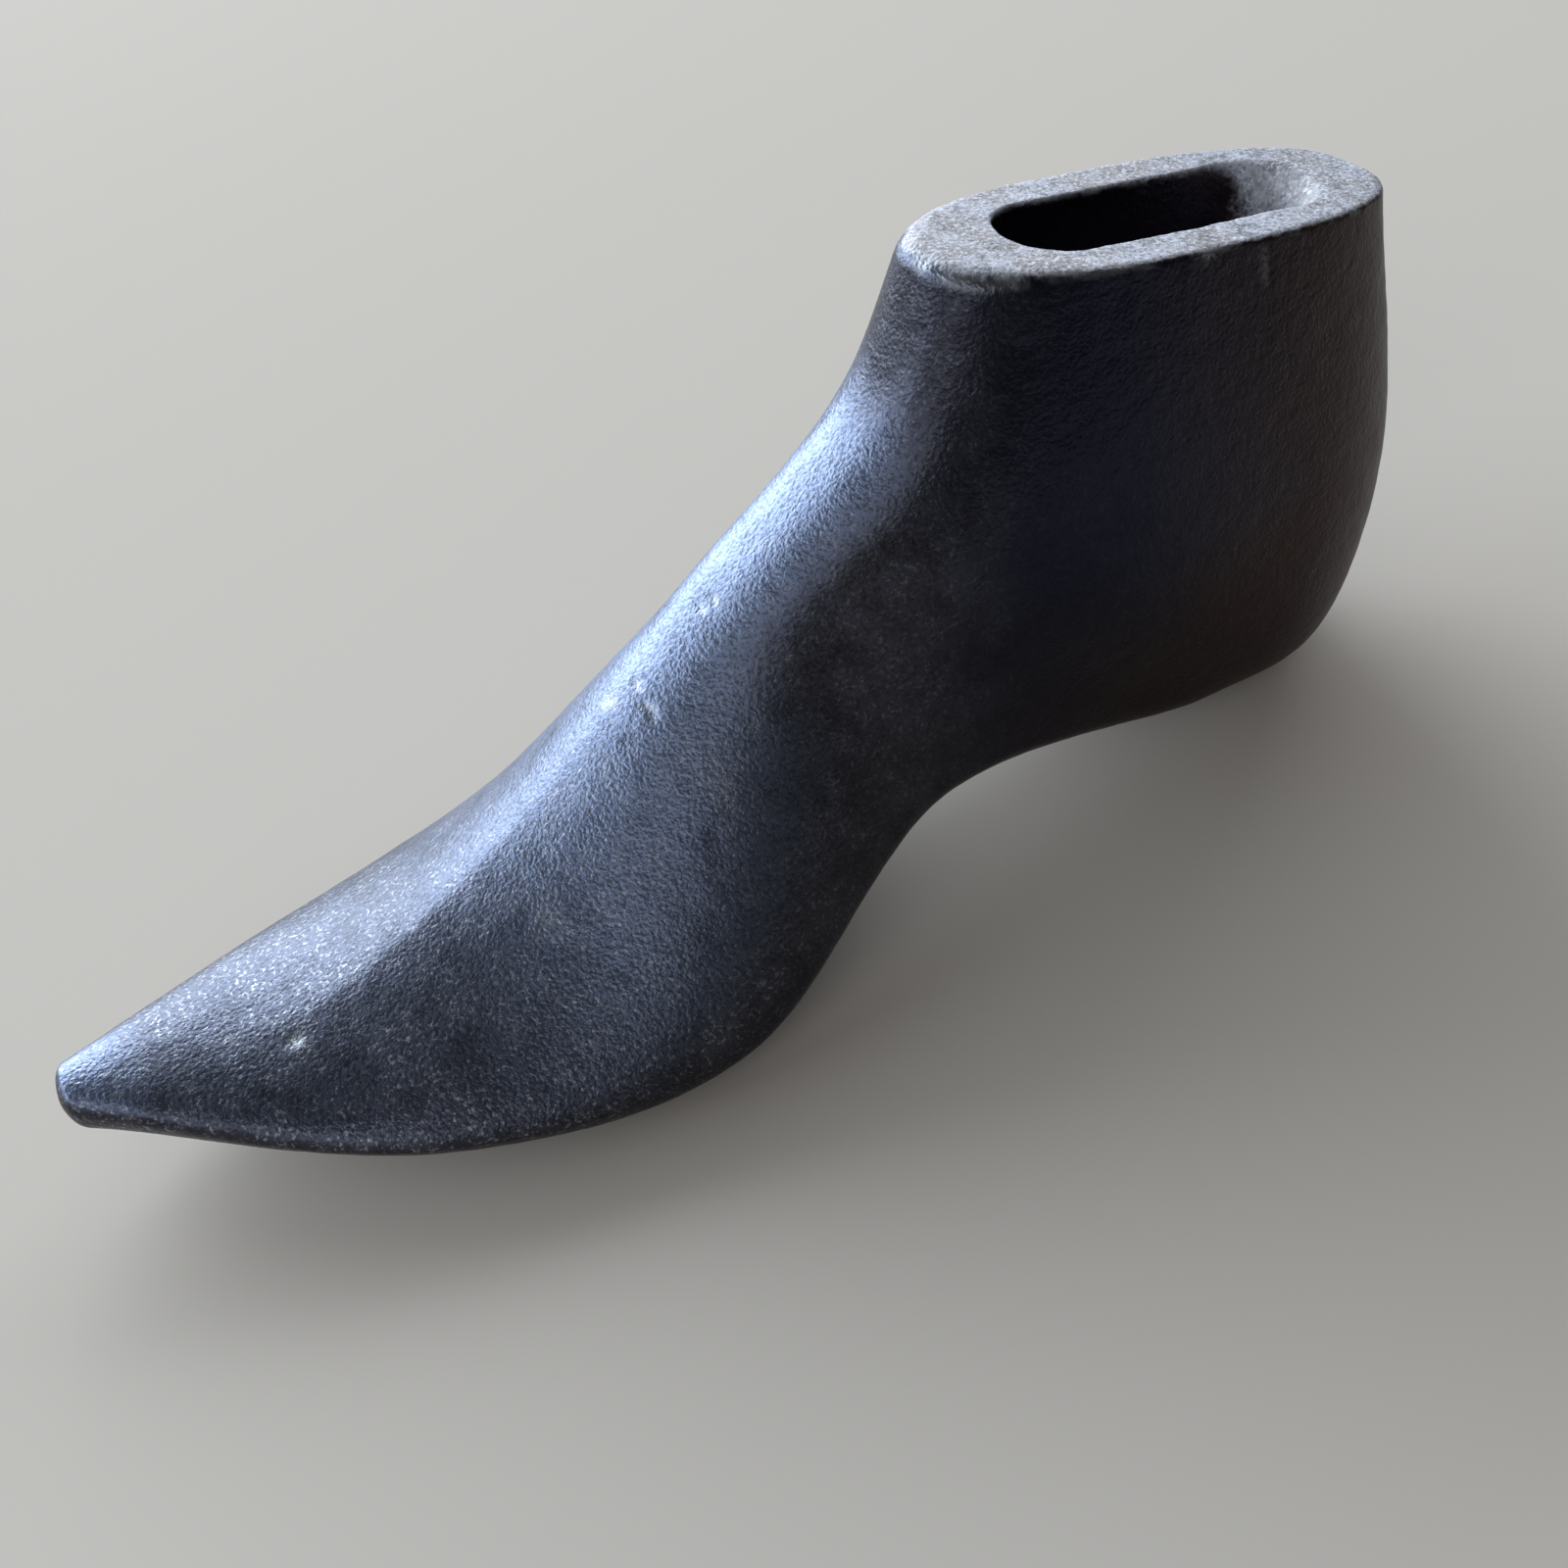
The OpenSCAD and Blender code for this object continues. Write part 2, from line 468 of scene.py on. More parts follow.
    def below_rim(self) -> list[np.ndarray]:
        """Rings on the skin under the rim, from the end of its rounded edge.

        Returns:
            Rings in order, down to the place where the rows of the skin begin.
        """
        places = np.linspace(0.0, FIRST_ROW, 40)
        columns = np.array([self.form.ring(t) for t in places])
        steps = np.linalg.norm(np.diff(columns, axis=0), axis=2)
        run = np.concatenate([np.zeros((1, columns.shape[1])), np.cumsum(steps, axis=0)])
        edge = self.edge()[:, 0]
        rings = []
        for share in np.linspace(0.0, 1.0, self.under_rows + 1)[:-1]:
            wanted = edge + (run[-1] - edge) * share
            ring = [[np.interp(wanted[k], run[:, k], columns[:, k, i]) for i in range(3)]
                    for k in range(columns.shape[1])]
            rings.append(np.array(ring))
        return rings


@dataclass(frozen=True)
class Dent:
    """One mark in the iron: its kind, its place, size and depth in millimetres, its turn in
    degrees, and how bright it is rubbed."""

    mark: Mark
    place: Triple
    size: float
    depth: float
    turn: float = 0.0
    shine: float = 1.0

    def imprint(self, points: np.ndarray, normals: np.ndarray) -> np.ndarray:
        """How deeply each point lies in the mark, from 0 to 1.

        Args:
            points: Points of the casting, in millimetres.
            normals: Normals at those points.

        Returns:
            One share for each point.
        """
        away = points - np.array(self.place)
        nearest = int(np.argmin(np.sum(away**2, axis=1)))
        normal = normals[nearest]
        side = np.cross(normal, [0.0, 0.0, 1.0])
        side /= np.linalg.norm(side)
        up = np.cross(side, normal)
        c, s = math.cos(math.radians(self.turn)), math.sin(math.radians(self.turn))
        u = away @ (c * side + s * up)
        v = away @ (c * up - s * side)
        near = hump(away @ normal, 0.0, MARK_REACH)
        if self.mark is Mark.PIT:
            shape = np.exp(-(u**2 + v**2) / self.size**2)
        elif self.mark is Mark.CRESCENT:
            radius = np.hypot(u, v)
            arc = hump(radius, self.size, ARC_WIDTH)
            shape = arc * np.clip(v / self.size + 0.1, 0.0, 1.0)
        elif self.mark is Mark.RUB:
            shape = np.exp(-((u / self.size) ** 2) - (v / self.size * RUB_STRETCH) ** 2)
        else:
            shape = hump(v, 0.0, SCRATCH_WIDTH) * np.exp(-((u / self.size) ** 4))
        return shape * near


class Graph:
    """A short way to add linked nodes to a node tree."""

    def __init__(self, tree: bpy.types.NodeTree) -> None:
        """Starts on a tree.

        Args:
            tree: The tree that takes the nodes.
        """
        self.tree = tree

    def add(self, kind: str, values: dict | None = None, **settings: object) -> bpy.types.Node:
        """Adds a node.

        Args:
            kind: The node's type.
            values: Its inputs by name or number: a socket to link, or a value to set.
            settings: Its own settings.

        Returns:
            The new node.
        """
        node = self.tree.nodes.new(kind)
        for name, value in settings.items():
            setattr(node, name, value)
        for key, value in (values or {}).items():
            if isinstance(value, bpy.types.NodeSocket):
                self.tree.links.new(value, node.inputs[key])
            else:
                node.inputs[key].default_value = value
        return node

    def math(self, operation: str, a: object, b: object = 0.0) -> bpy.types.NodeSocket:
        """One sum on two numbers."""
        return self.add("ShaderNodeMath", {0: a, 1: b}, operation=operation).outputs[0]

    def noise(self, coords: object, scale: float, detail: float, rough: float = 0.5,
              distortion: float = 0.0) -> bpy.types.NodeSocket:
        """Soft noise on some coordinates.

        Args:
            coords: The coordinates.
            scale: Waves to the metre.
            detail: How many finer layers it has.
            rough: How strong the finer layers are.
            distortion: How far it is warped.

        Returns:
            The noise, about 0.5 in the mean.
        """
        values = {"Vector": coords, "Scale": scale, "Detail": detail, "Roughness": rough,
                  "Distortion": distortion}
        return self.add("ShaderNodeTexNoise", values).outputs[0]

    def ramp(self, value: object, low: float, high: float) -> bpy.types.NodeSocket:
        """A soft step from 0 at low to 1 at high."""
        node = self.add("ShaderNodeMapRange", {0: value, 1: low, 2: high},
                        interpolation_type="SMOOTHSTEP")
        return node.outputs[0]

    def mix(self, share: object, a: object, b: object) -> bpy.types.NodeSocket:
        """A blend of two colours."""
        node = self.add("ShaderNodeMix", {0: share, 6: a, 7: b}, data_type="RGBA")
        return node.outputs[2]

    def zone(self, zone: Zone) -> bpy.types.NodeSocket:
        """The value of a painted zone."""
        return self.add("ShaderNodeAttribute", attribute_name=zone.value).outputs["Fac"]


def rgba(colour: Colour) -> tuple[float, float, float, float]:
    """A colour with full cover."""
    return (*colour, 1.0)


@dataclass(frozen=True)
class Grain:
    """Patterns of the cast surface that the finish draws on, each between 0 and 1."""

    coords: bpy.types.NodeSocket
    lumps: bpy.types.NodeSocket
    sand: bpy.types.NodeSocket
    mottle: bpy.types.NodeSocket


@dataclass(frozen=True)
class BlackenedIron:
    """Old cast iron, blackened by use: grey where it is rubbed and brown at the heel, with a
    painted highlight on the crest, painted shade on the ankle and painted light in the socket.

    Scales are waves to the metre, and covers are how much of what lies under them they hide.
    """

    black: Colour = (0.034, 0.034, 0.043)
    blue_grey: Colour = (0.070, 0.072, 0.093)
    polished_sheen: Colour = (0.180, 0.226, 0.345)
    ankle_painted_shade: Colour = (0.0115, 0.0138, 0.028)
    fleck_and_glint: Colour = (0.29, 0.302, 0.34)
    rubbed: Colour = (0.42, 0.44, 0.48)
    rim_grey: Colour = (0.53, 0.555, 0.655)
    rim_dark: Colour = (0.17, 0.176, 0.205)
    rim_light: Colour = (0.74, 0.77, 0.85)
    rim_brown: Colour = (0.36, 0.33, 0.33)
    brown: Colour = (0.038, 0.0230, 0.0195)
    rust: Colour = (0.066, 0.034, 0.025)
    shade: Colour = (0.012, 0.011, 0.012)
    socket_painted_light: Colour = (0.070, 0.080, 0.145)
    ankle_cover: float = 0.85
    bloom_cover: float = 0.9
    rust_cover: float = 0.6
    grain_cover: float = 0.08
    edge_cover: float = 0.5
    mark_cover: float = 0.65
    socket_cover: float = 0.8
    metallic: float = 0.95
    dulling: float = 0.7
    roughness: float = 0.41
    mottle_rough: float = 0.16
    brown_rough: float = 0.16
    rim_rough: float = 0.22
    ankle_gloss: float = 0.10
    lump_scale: float = 1500.0
    sand_scale: float = 1400.0
    knot_scale: float = 430.0
    ragged_scale: float = 520.0
    worn_scale: float = 330.0
    mottle_scale: float = 150.0
    stain_scale: float = 110.0
    cloud_scale: float = 60.0
    grain_height: float = 180e-6
    knot_height: float = 1.5
    flank_relief: float = 0.72
    crest_relief: float = 0.28

    def make(self) -> bpy.types.Material:
        """Builds the finish.

        Returns:
            The material.
        """
        material = bpy.data.materials.new(IRON_SLOT)
        material.use_nodes = True
        material.node_tree.nodes.clear()
        g = Graph(material.node_tree)
        grain = self.grain(g)
        rim = self.rim_share(g, grain)
        colour = self.iron(g, grain)
        colour, brown = self.add_brown(g, grain, colour)
        colour = self.add_rim(g, grain, rim, colour)
        colour = self.add_wear(g, grain, colour)
        # Painted light in the socket: a bluish lift over the dark iron, strongest deep down,
        # where little lamp light reaches
        inside = g.zone(Zone.SOCKET)
        colour = g.mix(g.math("MULTIPLY", inside, self.socket_cover), colour,
                       rgba(self.socket_painted_light))
        dull = g.math("MULTIPLY", g.math("MAXIMUM", rim, inside), self.dulling)
        ankle = g.math("MULTIPLY", g.zone(Zone.ANKLE), g.math("SUBTRACT", 1.0, rim))
        shader = g.add("ShaderNodeBsdfPrincipled", {
            "Base Color": colour, "Metallic": g.math("SUBTRACT", self.metallic, dull),
            "Roughness": self.rough(g, grain, brown, rim, ankle),
            "Normal": self.relief(g, grain, ankle)})
        g.add("ShaderNodeOutputMaterial", {"Surface": shader.outputs[0]})
        return material

    def rough(self, g: Graph, grain: Grain, brown: object, rim: object, ankle: object
              ) -> bpy.types.NodeSocket:
        """How matt the iron is: most on the rim and in the brown, least on the ankle.

        Args:
            g: The graph.
            grain: The patterns of the surface.
            brown: Where the brown lies.
            rim: Where the rim's grey shows.
            ankle: Where the ankle's painted shade and knots lie.

        Returns:
            The roughness.
        """
        base = self.roughness - self.mottle_rough / 2
        rough = g.math("ADD", base, g.math("MULTIPLY", grain.mottle, self.mottle_rough))
        rough = g.math("ADD", rough, g.math("MULTIPLY", brown, self.brown_rough))
        rough = g.math("ADD", rough, g.math("MULTIPLY", rim, self.rim_rough))
        return g.math("SUBTRACT", rough, g.math("MULTIPLY", ankle, self.ankle_gloss))

    def relief(self, g: Graph, grain: Grain, ankle: object) -> bpy.types.NodeSocket:
        """The fine relief of the grain, with coarser knots on the ankle.

        Args:
            g: The graph.
            grain: The patterns of the surface.
            ankle: Where the ankle's painted shade and knots lie.

        Returns:
            The normal.
        """
        knots = g.math("MULTIPLY", g.noise(grain.coords, self.knot_scale, 2.0, 0.6), ankle)
        height = g.math("ADD", grain.lumps, g.math("MULTIPLY", knots, self.knot_height))
        crest = g.math("MULTIPLY", g.zone(Zone.CREST), self.crest_relief)
        bump = g.add("ShaderNodeBump", {
            "Strength": g.math("ADD", self.flank_relief, crest),
            "Distance": self.grain_height, "Height": height})
        return bump.outputs[0]

    def grain(self, g: Graph) -> Grain:
        """Adds the patterns of the cast surface.

        Args:
            g: The graph.

        Returns:
            The patterns.
        """
        coords = g.add("ShaderNodeTexCoord").outputs["Object"]
        lumps = g.noise(coords, self.lump_scale, 1.0, 0.6)
        sand = g.noise(coords, self.sand_scale, 3.0, 0.65)
        mottle = g.noise(coords, self.mottle_scale, 5.0, 0.6, 0.3)
        return Grain(coords, lumps, sand, mottle)

    def iron(self, g: Graph, grain: Grain) -> bpy.types.NodeSocket:
        """Colour of the bare iron: grey on black, lighter on the crest with rub wear and a
        painted highlight, painted shade in the hollows of the grain, lighter on single grains
        with painted glints, and painted shade over the ankle.

        Args:
            g: The graph.
            grain: The patterns of the surface.

        Returns:
            The colour.
        """
        tone = g.math("MULTIPLY", g.ramp(grain.mottle, 0.30, 0.70), 0.8)
        colour = g.mix(tone, rgba(self.black), rgba(self.blue_grey))
        # Painted highlight: a lighter, bluer polish on the crest stands in for the lamps'
        # reflection, over real rub wear
        crest = g.math("MULTIPLY", g.zone(Zone.CREST), g.ramp(grain.mottle, 0.05, 0.48))
        colour = g.mix(crest, colour, rgba(self.polished_sheen))
        hollow = g.math("MULTIPLY", g.ramp(grain.lumps, 0.50, 0.36), 0.35)
        colour = g.mix(hollow, colour, rgba(self.shade))
        # Light grains with painted glints on them, as grain tops that catch the light, more of
        # them towards the toe
        patchy = g.math("ADD", 0.35, g.math("MULTIPLY", g.ramp(grain.mottle, 0.38, 0.62), 0.45))
        along = g.add("ShaderNodeSeparateXYZ", {0: grain.coords}).outputs[0]
        more_towards_toe = g.math("ADD", 0.30, g.math("MULTIPLY", g.ramp(along, 0.0, 0.055), 0.70))
        light_grains_and_glints = g.math("MULTIPLY", g.ramp(grain.sand, 0.55, 0.635),
                        g.math("MULTIPLY", patchy, more_towards_toe))
        colour = g.mix(light_grains_and_glints, colour, rgba(self.fleck_and_glint))
        # Painted shade: the ankle darker and bluer than the iron, less on its front
        ankle = g.math("MULTIPLY", g.zone(Zone.ANKLE), self.ankle_cover)
        return g.mix(ankle, colour, rgba(self.ankle_painted_shade))

    def add_brown(self, g: Graph, grain: Grain, colour: object
                  ) -> tuple[bpy.types.NodeSocket, bpy.types.NodeSocket]:
        """Lays a brown bloom and patches of rust over a colour.

        Args:
            g: The graph.
            grain: The patterns of the surface.
            colour: The colour under them.

        Returns:
            The new colour, and where the brown lies.
        """
        heel = g.zone(Zone.HEEL)
        cloud = g.noise(grain.coords, self.cloud_scale, 6.0, 0.65, 0.6)
        bloom = g.math("MULTIPLY", heel, g.ramp(cloud, 0.10, 0.45))
        colour = g.mix(g.math("MULTIPLY", bloom, self.bloom_cover), colour, rgba(self.brown))
        patch = g.math("MULTIPLY", heel, g.ramp(cloud, 0.52, 0.72))
        patch = g.math("MULTIPLY", patch, g.ramp(grain.mottle, 0.35, 0.65))
        colour = g.mix(g.math("MULTIPLY", patch, self.rust_cover), colour, rgba(self.rust))
        # A few light grains with painted glints on the brown
        single = g.math("MULTIPLY", heel, g.ramp(grain.sand, 0.60, 0.68))
        single = g.math("MULTIPLY", single, self.grain_cover)
        return g.mix(single, colour, rgba(self.fleck_and_glint)), bloom

    def rim_share(self, g: Graph, grain: Grain) -> bpy.types.NodeSocket:
        """Where the bare grey of the rim shows, with a ragged border.

        Args:
            g: The graph.
            grain: The patterns of the surface.

        Returns:
            The share, from 0 to 1.
        """
        ragged = g.noise(grain.coords, self.ragged_scale, 4.0, 0.65)
        ragged = g.math("MULTIPLY", g.math("SUBTRACT", ragged, 0.5), 0.8)
        return g.ramp(g.math("ADD", g.zone(Zone.RIM), ragged), 0.30, 0.75)

    def add_rim(self, g: Graph, grain: Grain, rim: object, colour: object
                ) -> bpy.types.NodeSocket:
        """Lays the granular grey of the rim over a colour, browned here and there.

        Args:
            g: The graph.
            grain: The patterns of the surface.
            rim: Where the rim's grey shows.
            colour: The colour under it.

        Returns:
            The new colour.
        """
        stain = g.noise(grain.coords, self.stain_scale, 5.0, 0.65, 0.4)
        face = g.mix(g.math("MULTIPLY", g.ramp(stain, 0.44, 0.64), 0.8), rgba(self.rim_grey),
                     rgba(self.rim_brown))
        worn = g.noise(grain.coords, self.worn_scale, 6.0, 0.7, 0.2)
        face = g.mix(g.math("MULTIPLY", g.ramp(worn, 0.53, 0.36), 0.8), face, rgba(self.rim_dark))
        pore = g.math("MULTIPLY", g.ramp(grain.lumps, 0.47, 0.36), 0.7)
        face = g.mix(pore, face, rgba(self.rim_dark))
        bright = g.math("MULTIPLY", g.ramp(grain.sand, 0.50, 0.62), 0.85)
        face = g.mix(bright, face, rgba(self.rim_light))
        return g.mix(rim, colour, face)

    def add_wear(self, g: Graph, grain: Grain, colour: object) -> bpy.types.NodeSocket:
        """Rubs a colour down to bright metal along the edges and in the marks.

        Args:
            g: The graph.
            grain: The patterns of the surface.
            colour: The colour under the wear.

        Returns:
            The new colour.
        """
        shine = g.math("MULTIPLY", g.zone(Zone.EDGE), g.ramp(grain.mottle, 0.42, 0.60))
        mark = g.math("MULTIPLY", g.zone(Zone.DING), g.ramp(grain.sand, 0.34, 0.60))
        wear = g.math("MAXIMUM", g.math("MULTIPLY", shine, self.edge_cover),
                      g.math("MULTIPLY", mark, self.mark_cover))
        return g.mix(wear, colour, rgba(self.rubbed))


@dataclass(frozen=True)
class CastSkin:
    """The relief of the casting's surface: slow waves, an orange-peel grain and pits."""

    wave_height: float = 0.22
    wave_size: float = 17.0
    peel_height: float = 0.10
    peel_size: float = 3.2
    pit_depth: float = 0.22
    pit_spacing: float = 11.0
    pit_edge: float = 0.17
    pit_bottom: float = 0.04
    rim_flatness: float = 0.6
    worn_peel: float = 2.0
    seed: float = 4.0

    def tree(self, material: bpy.types.Material) -> tuple[bpy.types.NodeTree, dict[str, object]]:
        """Builds the node tree.

        Args:
            material: The finish that the skin gets.

        Returns:
            The tree, and the value of each input by its identifier.
        """
        tree = bpy.data.node_groups.new("cast_skin", "GeometryNodeTree")
        face = tree.interface
        face.new_socket("Casting", in_out="INPUT", socket_type="NodeSocketGeometry")
        sizes = {
            "Wave height": self.wave_height * MM, "Wave size": self.wave_size * MM,
            "Peel height": self.peel_height * MM, "Peel size": self.peel_size * MM,
            "Pit depth": self.pit_depth * MM, "Pit spacing": self.pit_spacing * MM,
            "Seed": self.seed,
        }
        values: dict[str, object] = {}
        for name, value in sizes.items():
            socket = face.new_socket(name, in_out="INPUT", socket_type="NodeSocketFloat")
            values[socket.identifier] = value
        finish = face.new_socket("Finish", in_out="INPUT", socket_type="NodeSocketMaterial")
        values[finish.identifier] = material
        face.new_socket("Casting", in_out="OUTPUT", socket_type="NodeSocketGeometry")
        self.wire(Graph(tree))
        return tree, values

    def wire(self, g: Graph) -> None:
        """Adds the nodes that move the surface along its normals.

        Args:
            g: Graph on the tree.
        """
        given = g.add("NodeGroupInput").outputs
        place = g.add("GeometryNodeInputPosition").outputs[0]
        normal = g.add("GeometryNodeInputNormal").outputs[0]
        flat = g.math("MULTIPLY", self.zone(g, Zone.RIM), self.rim_flatness)
        flat = g.math("SUBTRACT", 1.0, flat)
        worn = g.math("MAXIMUM", self.zone(g, Zone.SOCKET), self.zone(g, Zone.EDGE))
        rough = g.math("ADD", 1.0, g.math("MULTIPLY", worn, self.worn_peel))
        wave = self.swell(g, place, given["Wave size"], given["Seed"], 1.0)
        wave = g.math("MULTIPLY", g.math("MULTIPLY", wave, given["Wave height"]), flat)
        peel = self.swell(g, place, given["Peel size"], given["Seed"], 2.0)
        peel = g.math("MULTIPLY", g.math("MULTIPLY", peel, given["Peel height"]), rough)
        cells = g.add("ShaderNodeTexVoronoi", {
            "Vector": place, "W": given["Seed"],
            "Scale": g.math("DIVIDE", 1.0, given["Pit spacing"])}, voronoi_dimensions="4D")
        hole = g.ramp(cells.outputs["Distance"], self.pit_edge, self.pit_bottom)
        hole = g.math("MULTIPLY", hole, given["Pit depth"])
        height = g.math("SUBTRACT", g.math("ADD", wave, peel), hole)
        offset = g.add("ShaderNodeVectorMath", {0: normal, "Scale": height}, operation="SCALE")
        moved = g.add("GeometryNodeSetPosition", {
            "Geometry": given["Casting"], "Offset": offset.outputs[0]})
        whole = g.add("GeometryNodeRealizeInstances", {0: moved.outputs[0]})
        dressed = g.add("GeometryNodeSetMaterial", {
            "Geometry": whole.outputs[0], "Material": given["Finish"]})
        g.add("NodeGroupOutput", {0: dressed.outputs[0]})

    def swell(self, g: Graph, place: object, size: object, seed: object,
              detail: float) -> bpy.types.NodeSocket:
        """Noise between -1 and 1 whose waves have a given size.

        Args:
            g: The graph.
            place: Where the noise is read.
            size: Length of a wave, in metres.
            seed: Which of the many noises is taken.
            detail: How many finer layers it has.

        Returns:
            The noise.
        """
        values = {"Vector": place, "W": seed, "Scale": g.math("DIVIDE", 1.0, size),
                  "Detail": detail}
        noise = g.add("ShaderNodeTexNoise", values, noise_dimensions="4D").outputs[0]
        return g.math("MULTIPLY", g.math("SUBTRACT", noise, 0.5), 2.0)

    def zone(self, g: Graph, zone: Zone) -> bpy.types.NodeSocket:
        """The value of a painted zone."""
        node = g.add("GeometryNodeInputNamedAttribute", {"Name": zone.value}, data_type="FLOAT")
        return node.outputs[0]


@dataclass
class LastCasting:
    """The whole last: its lofted skin, rim, socket, surface relief, marks and finish."""

    form: FootForm = field(default_factory=FootForm)
    skin: CastSkin = CastSkin()
    finish: BlackenedIron = BlackenedIron()
    dents: tuple[Dent, ...] = (
        Dent(Mark.PIT, (23.3, -7.2, 44.0), 1.2, 0.20),
        Dent(Mark.CRESCENT, (21.1, -0.2, 44.8), 1.7, 0.35, 20.0),
        Dent(Mark.SCRATCH, (19.2, -5.0, 46.8), 1.3, 0.25, 20.0),
        Dent(Mark.PIT, (7.1, -4.7, 55.6), 0.8, 0.40),
        Dent(Mark.PIT, (5.3, -3.6, 56.9), 0.8, 0.35),
        Dent(Mark.PIT, (85.8, 2.9, 18.3), 1.2, 0.30),
        Dent(Mark.RUB, (85.0, 3.6, 18.3), 2.2, 0.0, 30.0),
        Dent(Mark.SCRATCH, (-78.7, 13.3, 85.8), 3.0, 0.15, 85.0, 0.3),
        Dent(Mark.PIT, (-69.6, 12.6, 90.7), 1.3, 0.60),
        Dent(Mark.PIT, (-92.0, -1.2, 86.2), 1.7, 0.70),
        Dent(Mark.RUB, (45.9, 10.9, 26.0), 4.5, 0.0, 30.0, 0.45),
        Dent(Mark.RUB, (16.2, 13.4, 39.1), 7.0, 0.0, 70.0, 0.35),
    )

    def build(self) -> bpy.types.Object:
        """Makes the casting and dresses it.

        Returns:
            The finished piece, at the origin, with its place in its mesh.
        """
        mesh = self.shell()
        piece = bpy.data.objects.new("iron_last", mesh)
        bpy.context.scene.collection.objects.link(piece)
        self.strike(mesh)
        self.cast(piece)
        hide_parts(CASTING_NODE)
        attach(piece, "root")
        return piece

    def shell(self) -> bpy.types.Mesh:
        """Closed skin of rings, from the socket's floor over the rim to the tip of the toe.

        Returns:
            The mesh, in metres, with its zones painted.
        """
        inside = PostSocket(self.form).rings()
        outside = self.form.skin_rows(FIRST_ROW)
        rings = [ring for ring, _ in inside] + outside
        zones = [values for _, values in inside] + [{} for _ in outside]
        count = self.form.around
        floor_end, toe_end = rings[0].mean(axis=0), self.form.nose_end()
        points = np.concatenate(rings + [[floor_end], [toe_end]])
        mesh = bpy.data.meshes.new("iron_last")
        mesh.from_pydata((points * MM).tolist(), [], self.faces(len(rings)))
        mesh.shade_smooth()
        for zone in Zone:
            values = [np.full(count, found.get(zone, 0.0)) for found in zones]
            self.paint(mesh, zone, np.concatenate(values + [[values[0][0], 0.0]]))
        self.paint_heel(mesh, points)
        self.paint_crest_wear_and_sheen(mesh, points)
        self.paint_ankle(mesh, points)
        return mesh

    def faces(self, ring_count: int) -> list[list[int]]:
        """Faces of the skin: quads between the rings, and a fan over either end.

        Args:
            ring_count: How many rings the skin has.

        Returns:
            The numbers of the points of each face.
        """
        count = self.form.around
        here = np.arange(count)
        after = (here + 1) % count
        first = np.arange(ring_count - 1)[:, None] * count
        quads = np.stack([first + here, first + after, first + count + after,
                          first + count + here], axis=-1).reshape(-1, 4)
        last = (ring_count - 1) * count
        floor_end = np.full(count, ring_count * count)
        floor_fan = np.stack([after, here, floor_end], axis=1)
        toe_fan = np.stack([last + here, last + after, floor_end + 1], axis=1)
        return quads.tolist() + floor_fan.tolist() + toe_fan.tolist()

    def paint(self, mesh: bpy.types.Mesh, zone: Zone, values: np.ndarray) -> None:
        """Stores a zone on the mesh.

        Args:
            mesh: The mesh.
            zone: Which zone.
            values: One value for each point.
        """
        layer = mesh.attributes.get(zone.value)
        if layer is None:
            layer = mesh.attributes.new(zone.value, "FLOAT", "POINT")
        layer.data.foreach_set("value", values.astype(np.float32))

    def normals(self, mesh: bpy.types.Mesh) -> np.ndarray:
        """Normals of a mesh.

        Args:
            mesh: The mesh.

        Returns:
            One row for each point.
        """
        flat = np.empty(len(mesh.vertices) * 3, np.float32)
        mesh.vertex_normals.foreach_get("vector", flat)
        return flat.reshape(-1, 3)

    def paint_heel(self, mesh: bpy.types.Mesh, points: np.ndarray) -> None:
        """Paints where rust gathers: the back of the heel, and the heel and waist near the sole.

        Args:
            mesh: The mesh.
            points: Its points, in millimetres.
        """
        x, z = points[:, 0], points[:, 2]
        back = slope(x, -54.0, -94.0)
        low = slope(z, 50.0, 20.0)
        heel = slope(x, -25.0, -70.0)
        waist = slope(x, 35.0, -25.0)
        rust = 0.9 * back + low * (0.7 * heel + 0.3 * waist)
        self.paint(mesh, Zone.HEEL, np.clip(rust, 0.0, 1.0))

    def paint_crest_wear_and_sheen(self, mesh: bpy.types.Mesh, points: np.ndarray) -> None:
        """Paints where leather has rubbed the iron, with a painted highlight laid on it: the top
        of the foot and its side towards the window lamp, down to the toe, and the tip.

        Args:
            mesh: The mesh.
            points: Its points, in millimetres.
        """
        x, normals = points[:, 0], self.normals(mesh)
        # The painted highlight follows the faces that turn up or towards the window lamp, fades
        # towards the toe and comes back at the tip
        upward = normals[:, 2] + 0.45 * np.clip(-normals[:, 1], 0.0, 1.0)
        instep = slope(x, -45.0, -20.0) * (1.0 - 0.78 * slope(x, 15.0, 65.0))
        tip = 0.6 * slope(x, 105.0, 115.0)
        self.paint(mesh, Zone.CREST, (instep + tip) * soft(slope(upward, 0.40, 0.96)))

    def paint_ankle(self, mesh: bpy.types.Mesh, points: np.ndarray) -> None:
        """Paints the ankle's painted shade and its knotty skin, least on its front, which faces
        the lamps.

        Args:
            mesh: The mesh.
            points: Its points, in millimetres.
        """
        behind = soft(slope(points[:, 0], -9.0, -39.0))
        front = slope(self.normals(mesh)[:, 0], 0.15, 0.70)
        self.paint(mesh, Zone.ANKLE, behind * (1.0 - 0.6 * front))

